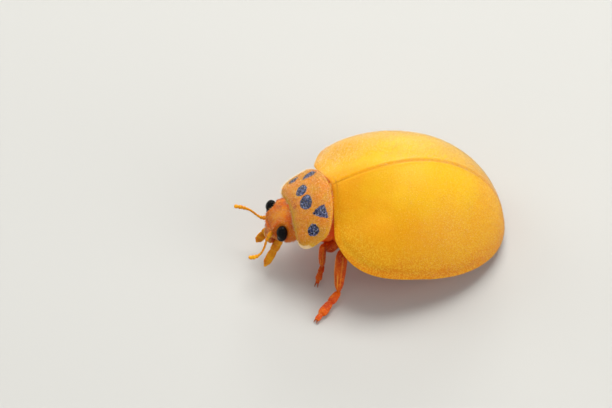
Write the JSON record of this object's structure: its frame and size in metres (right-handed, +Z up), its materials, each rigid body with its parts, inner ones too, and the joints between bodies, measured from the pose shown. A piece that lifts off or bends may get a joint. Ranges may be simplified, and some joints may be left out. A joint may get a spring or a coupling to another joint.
{
  "type": "ladybird beetle",
  "caption": "Life-size still model of a leaf-eating ladybird standing on its feet: domed unspotted wing cases, spotted shield behind a lowered head, feelers and palps.",
  "frame": {"origin": "on the floor, under the middle of the animal's bounding box", "axes": "+Z up; the head points to -Y and the tail end to +Y; the beetle's left side is +X"},
  "size_m": [0.0064, 0.0088, 0.0036],
  "materials": {
    "wing_case": "waxy satin, finely downy",
    "shield": "waxy satin, downy, with slate spots",
    "skin": "satin",
    "leg": "satin, short bristles",
    "feeler": "satin, translucent",
    "eye": "glossy, finely faceted"
  },
  "bodies": {
    "root": {"elytron_left": "wing_case", "elytron_right": "wing_case", "scutellum": "shield", "pronotum": "shield", "head": "shield", "prothorax": "skin", "thorax": "skin", "abdomen": "skin", "labrum": "feeler", "mandibles": "leg", "eye_left": "eye", "eye_right": "eye", "antenna_left": "feeler", "antenna_right": "feeler", "palp_left": "feeler", "palp_right": "feeler", "femur_front_left": "leg", "tibia_front_left": "leg", "tarsus_front_left": "leg", "femur_middle_left": "leg", "tibia_middle_left": "leg", "tarsus_middle_left": "leg", "femur_hind_left": "leg", "tibia_hind_left": "leg", "tarsus_hind_left": "leg", "femur_front_right": "leg", "tibia_front_right": "leg", "tarsus_front_right": "leg", "femur_middle_right": "leg", "tibia_middle_right": "leg", "tarsus_middle_right": "leg", "femur_hind_right": "leg", "tibia_hind_right": "leg", "tarsus_hind_right": "leg"}
  },
  "joints": []
}
